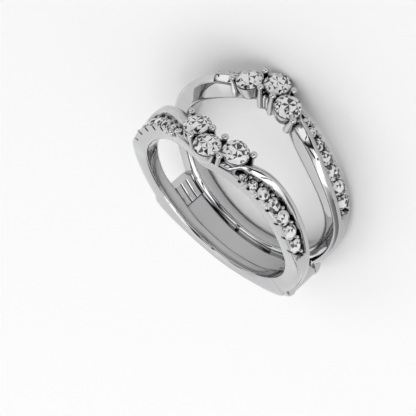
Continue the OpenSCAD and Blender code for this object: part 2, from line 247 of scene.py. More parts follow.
def arc_mm(angle):
    """How long an angle is at the height of the small stones."""
    return math.radians(angle) * (FINGER_R + PAVE_H)


def floor_h(angle):
    """The height of the groove's floor, just under the small stones' points."""
    d = np.interp(angle, PAVE_ANGLES, [diameter for _, _, diameter in PAVE_ROWS])
    return PAVE_H - PAVILION * d - 2 * SEAT_GAP


# meshes


def new_object(name, data):
    """An object in the scene, at the origin."""
    obj = bpy.data.objects.new(name, data)
    bpy.context.scene.collection.objects.link(obj)
    return obj


def make_mesh(name, points, faces, smooth=True):
    """A mesh object in the row's frame from points of the upright ring, its faces turned outwards."""
    mesh = bpy.data.meshes.new(name)
    mesh.from_pydata([tuple(p) for p in to_row(points)], [], [tuple(f) for f in faces])
    mesh.validate()
    for poly in mesh.polygons:
        poly.use_smooth = smooth
    bm = bmesh.new()
    bm.from_mesh(mesh)
    bmesh.ops.remove_doubles(bm, verts=bm.verts, dist=1e-7)
    bmesh.ops.recalc_face_normals(bm, faces=bm.faces)
    bm.to_mesh(mesh)
    bm.free()
    return new_object(name, mesh)


def ring_faces(rings, corners, first=0, closed=True):
    """Quads between neighbouring rings of corners, in a loop of rings or an open row of them."""
    faces = []
    for j in range(rings if closed else rings - 1):
        here, there = first + j * corners, first + (j + 1) % rings * corners
        for i in range(corners):
            k = (i + 1) % corners
            faces.append((here + i, here + k, there + k, there + i))
    return faces


def crisp_edges(obj, angle):
    """Smooth shading with creases where faces meet at more than an angle."""
    for poly in obj.data.polygons:
        poly.use_smooth = True
    obj.data.set_sharp_from_angle(angle=math.radians(angle))


def rounded_ring(corners, steps=4):
    """A closed outline whose corners, each (u, v, cut), are rounded off by a distance that takes at
    most a share of the edges beside it."""
    most, tiny = 0.46, 1e-9
    out = []
    for i, (u, v, cut) in enumerate(corners):
        p = np.array((u, v))
        a = np.array(corners[i - 1][:2]) - p
        b = np.array(corners[(i + 1) % len(corners)][:2]) - p
        length_a, length_b = np.linalg.norm(a), np.linalg.norm(b)
        start = p + a / max(length_a, tiny) * min(cut, most * length_a)
        end = p + b / max(length_b, tiny) * min(cut, most * length_b)
        for t in np.arange(steps + 1) / steps:
            out.append((1 - t) ** 2 * start + 2 * t * (1 - t) * p + t * t * end)
    return out


def apply_modifiers(obj):
    """Turns an object's evaluated shape into a plain mesh and removes its modifiers."""
    bpy.context.view_layer.update()
    graph = bpy.context.evaluated_depsgraph_get()
    graph.update()
    shape = obj.evaluated_get(graph)
    mesh = bpy.data.meshes.new_from_object(shape, preserve_all_data_layers=True, depsgraph=graph)
    obj.modifiers.clear()
    old = obj.data
    obj.data = mesh
    bpy.data.meshes.remove(old)


# the bands


def ribbon_wall(angle, wall):
    """Where the ribbon's wall stands: along the groove it passes the stones in one smooth curve."""
    if angle >= GROOVE_END:
        return wall
    clear = min(wall, np.interp(angle, PAVE_ANGLES, [s - d / 2 - SEAT_GAP for _, s, d in PAVE_ROWS]))
    t = min(max((angle - WALL_TURN_START) / WALL_TURN_SPAN, 0.0), 1.0)
    return wall + (clear - wall) * t * t * (3 - 2 * t)


def stone_reach(angle):
    """How far from the mid plane the small stones at an angle reach."""
    reach = 0
    for a, s, d in PAVE_ROWS:
        r, away = d / 2 + SEAT_GAP, abs(arc_mm(angle - a))
        if away < r:
            reach = max(reach, s + math.sqrt(r**2 - away**2))
    return reach


def rim_lip(angle, c, wall):
    """The inner edge of the rim's lip: thin beside the stones, and a bevel where there is no groove."""
    if groove(angle) > 0:
        lip = max(c[RIM_S] - LIP_WIDE, stone_reach(angle))
        lip = min(c[RIM_S] - LIP_THIN, lip)
    else:
        lip = c[RIM_S] - c[EDGE] - BEVEL
    if angle > STEP_START:
        # the bottom block's rim runs straight up to the wall, without a fold
        lip += max(0.0, wall + BLOCK_LIP - lip) * min((angle - STEP_START) / BLOCK_LIP_SPAN, 1.0)
    return lip


def band_section(angle):
    """A band's section at an angle, each corner as height, distance from the mid plane and rounding."""
    c = {k: column(angle, k) for k in COLUMNS}
    g = groove(angle)
    plain = 1 - g
    wall = ribbon_wall(angle, c[WALL_S])
    lip = rim_lip(angle, c, wall)
    top = (c[RIM_H] + c[WALL_H]) / 2
    low = c[RIM_H] + 0.3 * (top - c[RIM_H])
    fine = 0.03 + 0.12 * plain
    return rounded_ring([
        (0.0, c[FOOT_S], 0.3),
        (c[RIM_H], c[RIM_S], g * 0.08 + plain * c[EDGE] * 1.5),
        (c[RIM_H] + plain * 0.02, lip, fine),
        (g * floor_h(angle) + plain * low, lip - 0.01 - 0.1 * plain, fine),
        (g * floor_h(angle) + plain * top, wall + 0.02 + 0.1 * plain, fine),
        (c[WALL_H], wall, 0.14 + 0.06 * plain),
        (c[CREST_H], c[CREST_S], 0.32),
        (c[GAP_H], c[GAP_S] + 0.18, 0.14),
        (c[GAP_H] - 0.25, c[GAP_S], 0.12),
        (0.0, c[GAP_S], 0.62),
    ])


def make_band(name, rear):
    """One contoured band as a closed loop swept round the finger, with slots in its rim."""
    half = [a for start, stop, step in BAND_STEPS for a in np.arange(start, stop, step)] + [180.0]
    angles = [-a for a in half[:0:-1]] + half[:-1]
    rings = [band_section(abs(a)) for a in angles]
    sign = 1 if rear else -1
    points = [at(a, h, sign * s) for a, ring in zip(angles, rings) for h, s in ring]
    faces = ring_faces(len(rings), len(rings[0]))
    if rear:
        faces = [face[::-1] for face in faces]
    band = make_mesh(name, points, faces)
    cut_rim_slots(band, sign)
    return band


def cut_rim_slots(band, sign):
    """Cuts the round-bottomed slots in the rim, one beside each small stone."""
    floor = [(-SLOT_R * math.cos(t), SLOT_H - SLOT_R * math.sin(t))
             for t in np.linspace(0, math.pi, SLOT_ROUND_STEPS)[1:-1]]
    profile = [(-SLOT_R, SLOT_TOP), (-SLOT_R, SLOT_H)] + floor + [(SLOT_R, SLOT_H), (SLOT_R, SLOT_TOP)]
    n = len(profile)
    points, faces = [], []
    for side in (-1, 1):
        for angle in PAVE_ANGLES:
            rim = column(angle, RIM_S)
            start = len(points)
            turn = math.radians(side * angle)
            for y in (rim - SLOT_IN, rim + SLOT_OUT):
                for x, h in profile:
                    z = FINGER_R + h
                    points.append((x * math.cos(turn) + z * math.sin(turn), sign * y,
                                   -x * math.sin(turn) + z * math.cos(turn)))
            faces.append([start + i for i in range(n)])
            faces.append([start + n + i for i in range(n)][::-1])
            faces += ring_faces(2, n, start, closed=False)
    cutter = make_mesh("slot_cutter", points, faces)
    mod = band.modifiers.new("rim_slots", "BOOLEAN")
    mod.operation = "DIFFERENCE"
    mod.solver = "EXACT"
    mod.object = cutter
    apply_modifiers(band)
    bpy.data.objects.remove(cutter)


# the base


def base_h(angle, y):
    """The height of the base's finger side: flutes on the pad, a thin deep line, then the channel."""
    if angle < LINE_START:
        return PAD_DEPTH + FLUTE_DEPTH * (1 - abs(math.cos(math.pi * y / PAD_PITCH))) ** FLUTE_POWER
    return CHANNEL_DEPTH + (LINE_DEPTH if angle < LINE_END else 0.0)


def make_base(name):
    """The base between the bands: a channel on the finger side and a fluted pad at each end."""
    line = [LINE_START - 0.05, LINE_START + 0.05, LINE_END - 0.05, LINE_END + 0.05]
    half = [BASE_START + 0.04, *range(130, 142, 2), *line, *np.arange(143, 180, 1.5)]
    angles = half + [180.0] + [360 - a for a in half[::-1]]
    points = []
    for a in angles:
        b = min(a, 360 - a)
        w = column(b, GAP_S) + BASE_REACH
        outer = column(b, GAP_H) + BASE_SKIN
        row = [(outer, -w), (outer, w)] + [(base_h(b, y), y) for y in np.linspace(w, -w, BASE_ACROSS)]
        points += [at(a, h, y) for h, y in row]
    n = len(row)
    faces = ring_faces(len(angles), n, closed=False)
    faces.append(range(n))
    faces.append(range(len(points) - 1, len(points) - 1 - n, -1))
    return make_mesh(name, points, faces)


# the clusters' settings


def stone_frame(angle, s, h, rear):
    """Where a stone sits in the upright ring: its centre, two directions across and its axis."""
    a = math.radians(angle)
    up = np.array([math.sin(a), 0, math.cos(a)])
    across = np.array([math.cos(a), 0, -math.sin(a)])
    along = np.array([0, 1.0, 0])
    return up * (FINGER_R + h) + along * (s if rear else -s), across, along, up


def make_cups(name):
    """The open cups under the six main stones."""
    profile = rounded_ring([(MAIN_D / 2 - inset, -depth, cut) for inset, depth, cut in CUP], CUP_ROUND_STEPS)
    points, faces = [], []
    for rear in (False, True):
        for _, a, s in MAIN_PLACES:
            centre, across, along, up = stone_frame(a, s, MAIN_H, rear)
            faces += ring_faces(CUP_SIDES, len(profile), len(points))
            for t in 2 * math.pi * np.arange(CUP_SIDES) / CUP_SIDES:
                out = across * math.cos(t) + along * math.sin(t)
                points += [centre + out * r + up * h for r, h in profile]
    return make_mesh(name, points, faces)


def make_webs(name):
    """Short webs of metal that tie the open prongs to the cups beside them."""
    ties = [(a, s, *to) for a, s, _, _, to in PRONGS if to]
    # the first prong is tied to the side stone's cup too
    ties.append((*PRONGS[0][:2], SIDE_ANGLE, SIDE_S))
    bm = bmesh.new()
    for rear in (False, True):
        sign = 1 if rear else -1
        for side in (-1, 1):
            for a, s, to_a, to_s in ties:
                centre, across, along, up = stone_frame(side * a, s, WEB_H, rear)
                swing = math.sin(math.radians(side * (to_a - a)))
                run = np.array([(FINGER_R + WEB_H) * swing, sign * (to_s - s)])
                length = np.linalg.norm(run) - MAIN_D / 2 + WEB_REACH
                run /= np.linalg.norm(run)
                forth = across * run[0] + along * run[1]
                aside = np.cross(up, forth)
                for vert in bmesh.ops.create_cube(bm, size=1.0)["verts"]:
                    x, y, z = vert.co
                    p = centre + forth * (x + 0.5) * length + aside * y * WEB_WIDTH + up * z * WEB_HEIGHT
                    vert.co = Vector(to_row([p])[0])
    edges = list(bm.edges)
    bmesh.ops.bevel(bm, geom=edges, offset=WEB_ROUND * MM, segments=3, affect="EDGES", profile=0.5)
    bmesh.ops.recalc_face_normals(bm, faces=bm.faces)
    mesh = bpy.data.meshes.new(name)
    bm.to_mesh(mesh)
    bm.free()
    return new_object(name, mesh)


# nodes, for shapes and for finishes


def feed(tree, socket, value):
    """Sets an input to a value, or links it where the value is another node's output."""
    if isinstance(value, bpy.types.NodeSocket):
        tree.links.new(value, socket)
    else:
        socket.default_value = value


def add_node(tree, kind, inputs=None, **settings):
    """A node with its settings made first and its inputs fed after them."""
    node = tree.nodes.new(kind)
    for label, value in settings.items():
        setattr(node, label, value)
    for label, value in (inputs or {}).items():
        feed(tree, node.inputs[label], value)
    return node


def joined(tree, shapes):
    """Several shapes as one."""
    join = tree.nodes.new("GeometryNodeJoinGeometry")
    for shape in shapes:
        tree.links.new(shape, join.inputs["Geometry"])
    return join.outputs["Geometry"]


def shape_tree(name, sizes):
    """A node tree for a repeated shape, with named sizes, a seed and the metal to give it."""
    tree = bpy.data.node_groups.new(name, "GeometryNodeTree")
    add = tree.interface.new_socket
    add("Geometry", in_out="INPUT", socket_type="NodeSocketGeometry")
    for label, value in sizes.items():
        add(label, in_out="INPUT", socket_type="NodeSocketFloat").default_value = value
    add("Seed", in_out="INPUT", socket_type="NodeSocketInt")
    add("Metal", in_out="INPUT", socket_type="NodeSocketMaterial")
    add("Geometry", in_out="OUTPUT", socket_type="NodeSocketGeometry")
    return tree, tree.nodes.new("NodeGroupInput"), tree.nodes.new("NodeGroupOutput")


def own_value(tree, name, kind):
    """A value that each point carries."""
    node = add_node(tree, "GeometryNodeInputNamedAttribute", {"Name": name}, data_type=kind)
    return node.outputs["Attribute"]


def on_points(tree, start, shape, sizes, chosen=True):
    """Copies of a shape on the chosen points, turned to each point's axis and varied a little in size."""
    turn = add_node(tree, "FunctionNodeAlignRotationToVector",
                    {"Vector": own_value(tree, "axis", "FLOAT_VECTOR")}, axis="Z")
    size = add_node(tree, "FunctionNodeRandomValue",
                    {"Min": sizes[0], "Max": sizes[1], "Seed": start.outputs["Seed"]},
                    data_type="FLOAT_VECTOR")
    put = add_node(tree, "GeometryNodeInstanceOnPoints", {
        "Points": start.outputs["Geometry"], "Selection": chosen, "Instance": shape,
        "Rotation": turn.outputs["Rotation"], "Scale": size.outputs["Value"]})
    return put.outputs["Instances"]


def end_tree(tree, start, end, shape):
    """Makes the copies real, smooths them and gives them their metal."""
    real = add_node(tree, "GeometryNodeRealizeInstances", {"Geometry": shape})
    smooth = add_node(tree, "GeometryNodeSetShadeSmooth", {"Geometry": real.outputs["Geometry"]})
    paint = add_node(tree, "GeometryNodeSetMaterial", {
        "Geometry": smooth.outputs["Geometry"], "Material": start.outputs["Metal"]})
    tree.links.new(paint.outputs["Geometry"], end.inputs["Geometry"])
    return tree


def prong_tree():
    """Posts along the given edges, as thick as their points say, with a ball at each chosen end."""
    tree, start, end = shape_tree("ball_prongs", {"Post radius": POST_R * MM, "Ball radius": BALL_R * MM})
    curve = add_node(tree, "GeometryNodeMeshToCurve", {"Mesh": start.outputs["Geometry"]})
    circle = add_node(tree, "GeometryNodeCurvePrimitiveCircle", {
        "Resolution": 24, "Radius": start.outputs["Post radius"]})
    post = add_node(tree, "GeometryNodeCurveToMesh", {
        "Curve": curve.outputs["Curve"], "Profile Curve": circle.outputs["Curve"],
        "Scale": own_value(tree, "thick", "FLOAT"), "Fill Caps": True})
    ball = add_node(tree, "GeometryNodeMeshUVSphere", {
        "Segments": 28, "Rings": 18, "Radius": start.outputs["Ball radius"]})
    tip = own_value(tree, "tip", "BOOLEAN")
    balls = on_points(tree, start, ball.outputs["Mesh"], BALL_SIZES, tip)
    return end_tree(tree, start, end, joined(tree, [post.outputs["Mesh"], balls]))


def bead_tree():
    """Domed beads on short posts, one on each point."""
    tree, start, end = shape_tree("setting_beads", {"Radius": BEAD_R * MM, "Height": BEAD_POST * MM})
    radius, height = start.outputs["Radius"], start.outputs["Height"]
    dome = add_node(tree, "GeometryNodeMeshUVSphere", {"Segments": 20, "Rings": 12, "Radius": radius})
    post = add_node(tree, "GeometryNodeMeshCylinder", {"Vertices": 20, "Radius": radius, "Depth": height})
    drop = add_node(tree, "ShaderNodeMath", {0: height, 1: -0.5}, operation="MULTIPLY")
    down = add_node(tree, "ShaderNodeCombineXYZ", {"Z": drop.outputs[0]})
    lower = add_node(tree, "GeometryNodeTransform", {
        "Geometry": post.outputs["Mesh"], "Translation": down.outputs[0]})
    bead = joined(tree, [dome.outputs["Mesh"], lower.outputs["Geometry"]])
    beads = on_points(tree, start, bead, BEAD_SIZES)
    return end_tree(tree, start, end, beads)


def grow(obj, tree, values):
    """Runs a shape's tree on an object with its named inputs, and keeps the result as a plain mesh."""
    mod = obj.modifiers.new(tree.name, "NODES")
    mod.node_group = tree
    for item in tree.interface.items_tree:
        if item.item_type == "SOCKET" and item.in_out == "INPUT" and item.name in values:
            mod[item.identifier] = values[item.name]
    apply_modifiers(obj)
    return obj


def points_object(name, points, axes, edges=()):
    """A mesh of points, each with its axis in the row's frame."""
    mesh = bpy.data.meshes.new(name)
    mesh.from_pydata([tuple(p) for p in to_row(points)], edges, [])
    axis = mesh.attributes.new("axis", "FLOAT_VECTOR", "POINT")
    axis.data.foreach_set("vector", (to_row(axes) / MM).astype(np.float32).ravel())
    return new_object(name, mesh)


def make_prongs(name, metal):
    """Six ball prongs and two narrow ribs on each band."""
    points, axes, edges, tips, thick = [], [], [], [], []

    def post(a, s, rear, shape, ball):
        """One upright post through the heights and radii of its shape."""
        axis = stone_frame(a, s, 0, rear)[3]
        for i, (h, r) in enumerate(shape):
            points.append(at(a, h, s if rear else -s))
            axes.append(axis)
            tips.append(ball and i == len(shape) - 1)
            thick.append(r / POST_R)
            if i:
                edges.append((len(points) - 2, len(points) - 1))

    for rear in (False, True):
        for side in (-1, 1):
            for a, s, low, foot, _ in PRONGS:
                shape = [(low + rise, share * foot) for rise, share in PRONG_FOOT]
                shape += [(WAIST_LIFT * low + WAIST_H, max(WAIST_SHARE * foot, POST_R)),
                          (SHOULDER_H, POST_R), (MAIN_H + BALL_RISE, POST_R)]
                post(side * a, s, rear, shape, True)
            a, s, low, high, r = RIB
            shape = [(low + rise, share * r) for rise, share in RIB_FOOT]
            shape += [(high - drop, share * r) for drop, share in RIB_TIP]
            post(side * a, s, rear, shape, False)
    obj = points_object(name, points, axes, edges)
    obj.data.attributes.new("tip", "BOOLEAN", "POINT").data.foreach_set("value", tips)
    obj.data.attributes.new("thick", "FLOAT", "POINT").data.foreach_set("value", np.array(thick, np.float32))
    return grow(obj, prong_tree(), {
        "Post radius": POST_R * MM, "Ball radius": BALL_R * MM, "Seed": 3, "Metal": metal})


def bead_places():
    """Where the beads stand beside one arm's row: angle and distance from the mid plane."""
    places = []
    for (a, s, d), (next_a, next_s, next_d) in zip(PAVE_ROWS[:-1], PAVE_ROWS[1:]):
        run, across = arc_mm(next_a - a), next_s - s
        whole = math.hypot(run, across)
        reach = max(d, next_d) / 2 + BEAD_R + SEAT_GAP
        away = math.sqrt(max(0.01, reach**2 - whole**2 / 4))
        for k in (-1, 1):
            places.append(((a + next_a) / 2 - k * away * across / whole / arc_mm(1),
                           (s + next_s) / 2 + k * away * run / whole))
    a, s, d = PAVE_ROWS[-1]
    reach, turn = d / 2 + BEAD_R + 2 * SEAT_GAP, math.radians(END_BEAD_TURN)
    for k in (-1, 1):
        places.append((a + reach * math.cos(turn) / arc_mm(1), s + k * reach * math.sin(turn)))
    return places


def make_beads(name, metal):
    """The small beads that hold the small stones."""
    points, axes = [], []
    for rear in (False, True):
        for side in (-1, 1):
            for a, s in bead_places():
                points.append(at(side * a, PAVE_H + BEAD_RISE, s if rear else -s))
                axes.append(stone_frame(side * a, s, 0, rear)[3])
    return grow(points_object(name, points, axes), bead_tree(), {
        "Radius": BEAD_R * MM, "Height": BEAD_POST * MM, "Seed": 5, "Metal": metal})


# stones


def make_stone(name, angle, s, h, d, rear):
    """A round brilliant: table, stars, kites, girdle facets and pavilion."""
    centre, across, along, up = stone_frame(angle, s, h, rear)
    r = d / 2
    crown, girdle, pavilion = CROWN * d, GIRDLE * d, PAVILION * d

    def ring(count, radius, turn, height):
        """Corners evenly round the stone's axis, at a height over its girdle's middle."""
        turns = [math.radians(360 / count * i + turn) for i in range(count)]
        return [centre + (across * math.cos(t) + along * math.sin(t)) * radius + up * height for t in turns]

    points = ring(8, TABLE_R * r, 0, girdle + crown)
    points += ring(8, STAR_R * r, 22.5, girdle + STAR_RISE * crown)
    points += ring(32, r, 0, girdle)
    points += ring(32, r, 0, -girdle)
    points += ring(8, LOWER_R * r, 22.5, -girdle - LOWER_DROP * pavilion)
    points += ring(1, 0, 0, -pavilion)
    # where each ring of corners starts in the list
    table, star, upper, lower, main, point = 0, 8, 16, 48, 80, 88
    faces = [[table + i for i in range(8)]]
    for i in range(8):
        j = (i + 1) % 8
        over = [upper + (4 * i + k) % 32 for k in range(5)]
        under = [lower + (4 * i + k) % 32 for k in range(5)]
        faces.append([table + i, table + j, star + i])
        faces.append([table + i, star + i, over[0], star + (i + 7) % 8])
        faces.append([star + i, *over[0:3]])
        faces.append([star + i, *over[2:5]])
        faces.append([main + i, *under[0:3]])
        faces.append([main + i, *under[2:5]])
        faces.append([under[4], main + j, point, main + i])
    faces += [[upper + i, upper + (i + 1) % 32, lower + (i + 1) % 32, lower + i] for i in range(32)]
    obj = make_mesh(name, points, faces, smooth=False)
    # each stone has a seed of its own
    seed = int(1000 * (angle + 90)) + 7 * rear
    split_facets(obj, up, MAIN_SPLITS if d == MAIN_D else PAVE_SPLITS, seed)
    return obj


def split_facets(obj, axis, steps, seed):
    """Splits the upper facets into slim triangles in their own planes, in steps that each take the
    facets with enough corners, and gives each small facet a painted reflection tone of its own."""
    up = Vector(to_row([axis])[0]).normalized()
    bm = bmesh.new()
    bm.from_mesh(obj.data)
    bm.normal_update()
    for corners in steps:
        upper = [f for f in bm.faces if f.normal.dot(up) > UPPER_FACING and len(f.verts) >= corners]
        bmesh.ops.poke(bm, faces=upper)
        bm.normal_update()
    # painted reflections: each small facet gets a dark, dim or light tone at random, in place of the stone's
    # reflections
    reflection_tone = bm.faces.layers.float.new("reflection_tone")
    rng = np.random.default_rng(seed)
    for face in bm.faces:
        pick = rng.random()
        if pick > DIM_SHARE:
            face[reflection_tone] = LIGHT_REFLECTION
        else:
            face[reflection_tone] = rng.uniform(*(DIM_REFLECTIONS if pick > DARK_SHARE else DARK_REFLECTIONS))
    bm.to_mesh(obj.data)
    bm.free()


# materials


def new_material(name):
    """A material and its node tree."""
    material = bpy.data.materials.new(name)
    material.use_nodes = True
    return material, material.node_tree


def set_shader(tree, inputs):
    """Sets or links the inputs of a material's shader."""
    for label, value in inputs.items():
        feed(tree, tree.nodes["Principled BSDF"].inputs[label], value)


def blend(tree, factor, first, second, kind="MIX"):
    """A blend of two colours."""
    mix = add_node(tree, "ShaderNodeMix", {"Factor": factor, "A": first, "B": second},
                   data_type="RGBA", blend_type=kind)
    return mix.outputs["Result"]


def shader_group(name, inputs, outputs):
    """A group of shader nodes with named numbers going in and named values coming out."""
    group = bpy.data.node_groups.new(name, "ShaderNodeTree")
    for label, value in inputs.items():
        socket = group.interface.new_socket(label, in_out="INPUT", socket_type="NodeSocketFloat")
        socket.default_value = value
    for label, kind in outputs.items():
        group.interface.new_socket(label, in_out="OUTPUT", socket_type=kind)
    return group, group.nodes.new("NodeGroupInput"), group.nodes.new("NodeGroupOutput")


def wear_and_shade_group():
    """Fine polishing marks and soft smudges: a roughness, a height, and masks of dulled spots and
    of painted shade in recesses, strongest where nearby surfaces close a point in."""
    group, start, end = shader_group(
        "polish_wear_and_recess_shade",
        {"Polish roughness": 0.05, "Smudge roughness": 0.08, "Mark scale": 900.0, "Smudge scale": 120.0},
        {label: "NodeSocketFloat" for label in ("Roughness", "Height", "Dulled", "Recess shade")})
    # painted shade: ambient occlusion makes a mask that darkens the metal in crevices and recesses
    near = add_node(group, "ShaderNodeAmbientOcclusion", {"Distance": 0.6 * MM}, samples=8)
    recess_shade = add_node(group, "ShaderNodeMapRange", {
        "Value": near.outputs["AO"], "From Min": 0.15, "From Max": 0.85, "To Min": 1.0, "To Max": 0.0})
    place = add_node(group, "ShaderNodeTexCoord").outputs["Object"]
    stretch = add_node(group, "ShaderNodeMapping", {"Vector": place, "Scale": (1.0, 1.0, 6.0)})
    marks = add_node(group, "ShaderNodeTexNoise", {
        "Vector": stretch.outputs["Vector"], "Scale": start.outputs["Mark scale"], "Detail": 4.0})
    smudge = add_node(group, "ShaderNodeTexNoise", {
        "Vector": place, "Scale": start.outputs["Smudge scale"], "Detail": 3.0})
    dulled = add_node(group, "ShaderNodeMapRange", {
        "Value": smudge.outputs["Fac"], "From Min": 0.45, "From Max": 0.75})
    extra = add_node(group, "ShaderNodeMath", {
        0: dulled.outputs["Result"], 1: start.outputs["Smudge roughness"]}, operation="MULTIPLY")
    total = add_node(group, "ShaderNodeMath", {
        0: start.outputs["Polish roughness"], 1: extra.outputs[0]}, operation="ADD")
    feed(group, end.inputs["Roughness"], total.outputs[0])
    feed(group, end.inputs["Height"], marks.outputs["Fac"])
    feed(group, end.inputs["Dulled"], dulled.outputs["Result"])
    feed(group, end.inputs["Recess shade"], recess_shade.outputs["Result"])
    return group


def facet_reflection_group():
    """Painted dark and light reflections of a cut stone: each small facet's own painted tone."""
    group, start, end = shader_group(
        "painted_facet_reflections", {"Dark reflection": 0.02, "Light reflection": 1.0}, {"Tone": "NodeSocketColor"})
    own = add_node(group, "ShaderNodeAttribute", attribute_name="reflection_tone")
    # painted reflections: the facet's tone sets its colour between the dark and the light level
    level = add_node(group, "ShaderNodeMapRange", {
        "Value": own.outputs["Fac"],
        "To Min": start.outputs["Dark reflection"], "To Max": start.outputs["Light reflection"]})
    feed(group, end.inputs["Tone"], level.outputs["Result"])
    return group


def white_metal(name, wear_and_shade, color, shade, recess_shade, polish, smudge, bump):
    """Polished white metal with fine polishing marks, slightly duller spots and painted shade in its
    recesses.
    """
    material, tree = new_material(name)
    surface = add_node(tree, "ShaderNodeGroup", {"Polish roughness": polish, "Smudge roughness": smudge},
                       node_tree=wear_and_shade)
    tint = blend(tree, surface.outputs["Dulled"], (*color, 1), (*shade, 1))
    # painted shade: the colour turns to the dark recess colour wherever the occlusion mask is strong
    shaded_recesses = blend(tree, surface.outputs["Recess shade"], tint, (*recess_shade, 1))
    marks = add_node(tree, "ShaderNodeBump", {
        "Height": surface.outputs["Height"], "Strength": bump, "Distance": 0.02 * MM})
    set_shader(tree, {"Metallic": 1.0, "Base Color": shaded_recesses, "Roughness": surface.outputs["Roughness"],
                      "Normal": marks.outputs["Normal"]})
    return material


def clear_stone(name, wear_and_shade, facet_reflections, dark_reflection):
    """A clear faceted stone with faint smudges and painted dark and light facet reflections in its colour."""
    material, tree = new_material(name)
    surface = add_node(tree, "ShaderNodeGroup", {
        "Polish roughness": 0.0, "Smudge roughness": 0.006, "Smudge scale": 700.0}, node_tree=wear_and_shade)
    tint = blend(tree, surface.outputs["Dulled"], (1.0, 1.0, 1.0, 1), (0.97, 0.98, 1.0, 1))
    facet_reflection = add_node(tree, "ShaderNodeGroup", {"Dark reflection": dark_reflection}, node_tree=facet_reflections)
    # painted reflections: the stone's colour is multiplied by each facet's painted dark or light tone
    painted_reflections = blend(tree, 1.0, tint, facet_reflection.outputs["Tone"], "MULTIPLY")
    set_shader(tree, {"Metallic": 0.0, "Transmission Weight": 0.2, "IOR": 2.42, "Specular IOR Level": 0.12,
                      "Base Color": painted_reflections, "Roughness": surface.outputs["Roughness"]})
    return material


wear_and_shade = wear_and_shade_group()
# the recess colours below are painted shade for each metal's crevices and recesses
band_metal = white_metal(
    "polished_white_gold", wear_and_shade, color=(0.545, 0.545, 0.55), shade=(0.49, 0.49, 0.50),
    recess_shade=(0.04, 0.04, 0.043), polish=0.03, smudge=0.04, bump=0.05)
setting_metal = white_metal(
    "bright_setting_metal", wear_and_shade, color=(0.57, 0.57, 0.575), shade=(0.51, 0.51, 0.52),
    recess_shade=(0.03, 0.03, 0.033), polish=0.025, smudge=0.03, bump=0.03)
facet_reflections = facet_reflection_group()
main_glass = clear_stone("clear_brilliant", wear_and_shade, facet_reflections, dark_reflection=0.02)
pave_glass = clear_stone("clear_small_brilliant", wear_and_shade, facet_reflections, dark_reflection=0.05)

# the ring


def dress(piece, metal, crease):
    """Gives a piece its metal and its creases."""
    crisp_edges(piece, crease)
    piece.data.materials.clear()
    piece.data.materials.append(metal)
    return piece


metal_pieces = [
    dress(make_band("front_band", False), band_metal, BAND_CREASE),
    dress(make_band("rear_band", True), band_metal, BAND_CREASE),
    dress(make_base("base"), band_metal, BASE_CREASE),
    dress(make_cups("stone_cups"), setting_metal, SETTING_CREASE),
    dress(make_webs("prong_webs"), setting_metal, SETTING_CREASE),
    make_prongs("ball_prongs", setting_metal),
    make_beads("setting_beads", setting_metal),
]
for piece in metal_pieces:
    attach(piece, "root")
    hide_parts("mounting")


def place_stone(node, glass, *where):
    """A cut stone in place of its node."""
    stone = make_stone("cut_" + node, *where)
    stone.data.materials.append(glass)
    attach(stone, "root")
    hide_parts(node)


for label, rear in (("front", False), ("rear", True)):
    for name, a, s in MAIN_PLACES:
        place_stone(f"{label}_{name}_stone", main_glass, a, s, MAIN_H, MAIN_D, rear)
    for arm, side in (("left", -1), ("right", 1)):
        for i, (a, s, d) in enumerate(PAVE_ROWS):
            place_stone(f"{label}_{arm}_pave_{i + 1}", pave_glass, side * a, s, PAVE_H, d, rear)

# floor and light, in metres

FLOOR_Z = cad_box[0][2]
FLOOR_HALF = 0.6
CARD_AWAY = 0.28
FLAG_BACK, FLAG_HALF = 0.05, 0.07

# the studio tent: its strength, the way to its dark side, and its greys from the ground up and
# from the far side to the dark side
TENT_STRENGTH = 1.68
DARK_WAY = (0.85, -0.51, 0.10)
HEIGHT_GREYS = [(0.0, 0.8), (0.50, 0.62), (0.60, 0.58), (0.80, 0.62), (0.90, 0.85), (0.975, 0.8), (0.99, 0.4)]
SIDE_GREYS = [(0.0, 1.0), (0.80, 1.0), (0.93, 0.30), (1.0, 0.22)]


def stage_plane(name, centre, u, v, material):
    """A flat piece of the studio round a centre, with two half sides."""
    c, u, v = Vector(centre), Vector(u), Vector(v)
    mesh = bpy.data.meshes.new(name)
    mesh.from_pydata([c - u - v, c + u - v, c + u + v, c - u + v], [], [(0, 1, 2, 3)])
    mesh.materials.append(material)
    obj = new_object(name, mesh)


def make_floor():
    """A plain pale floor that the ring lies on."""
    paint, tree = new_material("pale_floor")
    set_shader(tree, {"Base Color": (0.985, 0.985, 0.985, 1), "Roughness": 0.6})
    stage_plane("floor", (0, 0, FLOOR_Z), (FLOOR_HALF, 0, 0), (0, FLOOR_HALF, 0), paint)


def area_light(name, place, aim, size, power):
    """A soft rectangular light aimed at a point."""
    data = bpy.data.lights.new(name, "AREA")
    data.shape = "RECTANGLE"
    data.size, data.size_y = size
    data.energy = power
    obj = new_object(name, data)
    obj.location = place
    obj.rotation_euler = (Vector(aim) - Vector(place)).to_track_quat("-Z", "Y").to_euler()


def glow_card(name, place, width, length, strength):
    """A large soft card of light aimed at the ring, brightest in its middle and fading to its edges."""
    paint, tree = new_material(name + "_paint")
    where = add_node(tree, "ShaderNodeTexCoord").outputs["Generated"]
    centre = add_node(tree, "ShaderNodeMapping", {
        "Vector": where, "Location": (-1.0, -1.0, -1.0), "Scale": (2.0, 2.0, 2.0)}, vector_type="POINT")
    fade = add_node(tree, "ShaderNodeTexGradient", {"Vector": centre.outputs["Vector"]},
                    gradient_type="SPHERICAL")
    soft = add_node(tree, "ShaderNodeValToRGB", {"Fac": fade.outputs["Fac"]})
    soft.color_ramp.interpolation = "EASE"
    soft.color_ramp.elements[1].position = 0.6
    set_shader(tree, {"Base Color": (0.0, 0.0, 0.0, 1), "Emission Strength": strength,
                      "Emission Color": soft.outputs["Color"]})
    out = Vector(place).normalized()
    side = out.cross(Vector((0, 0, 1))).normalized()
    stage_plane(name, place, side * width / 2, side.cross(out) * length / 2, paint)


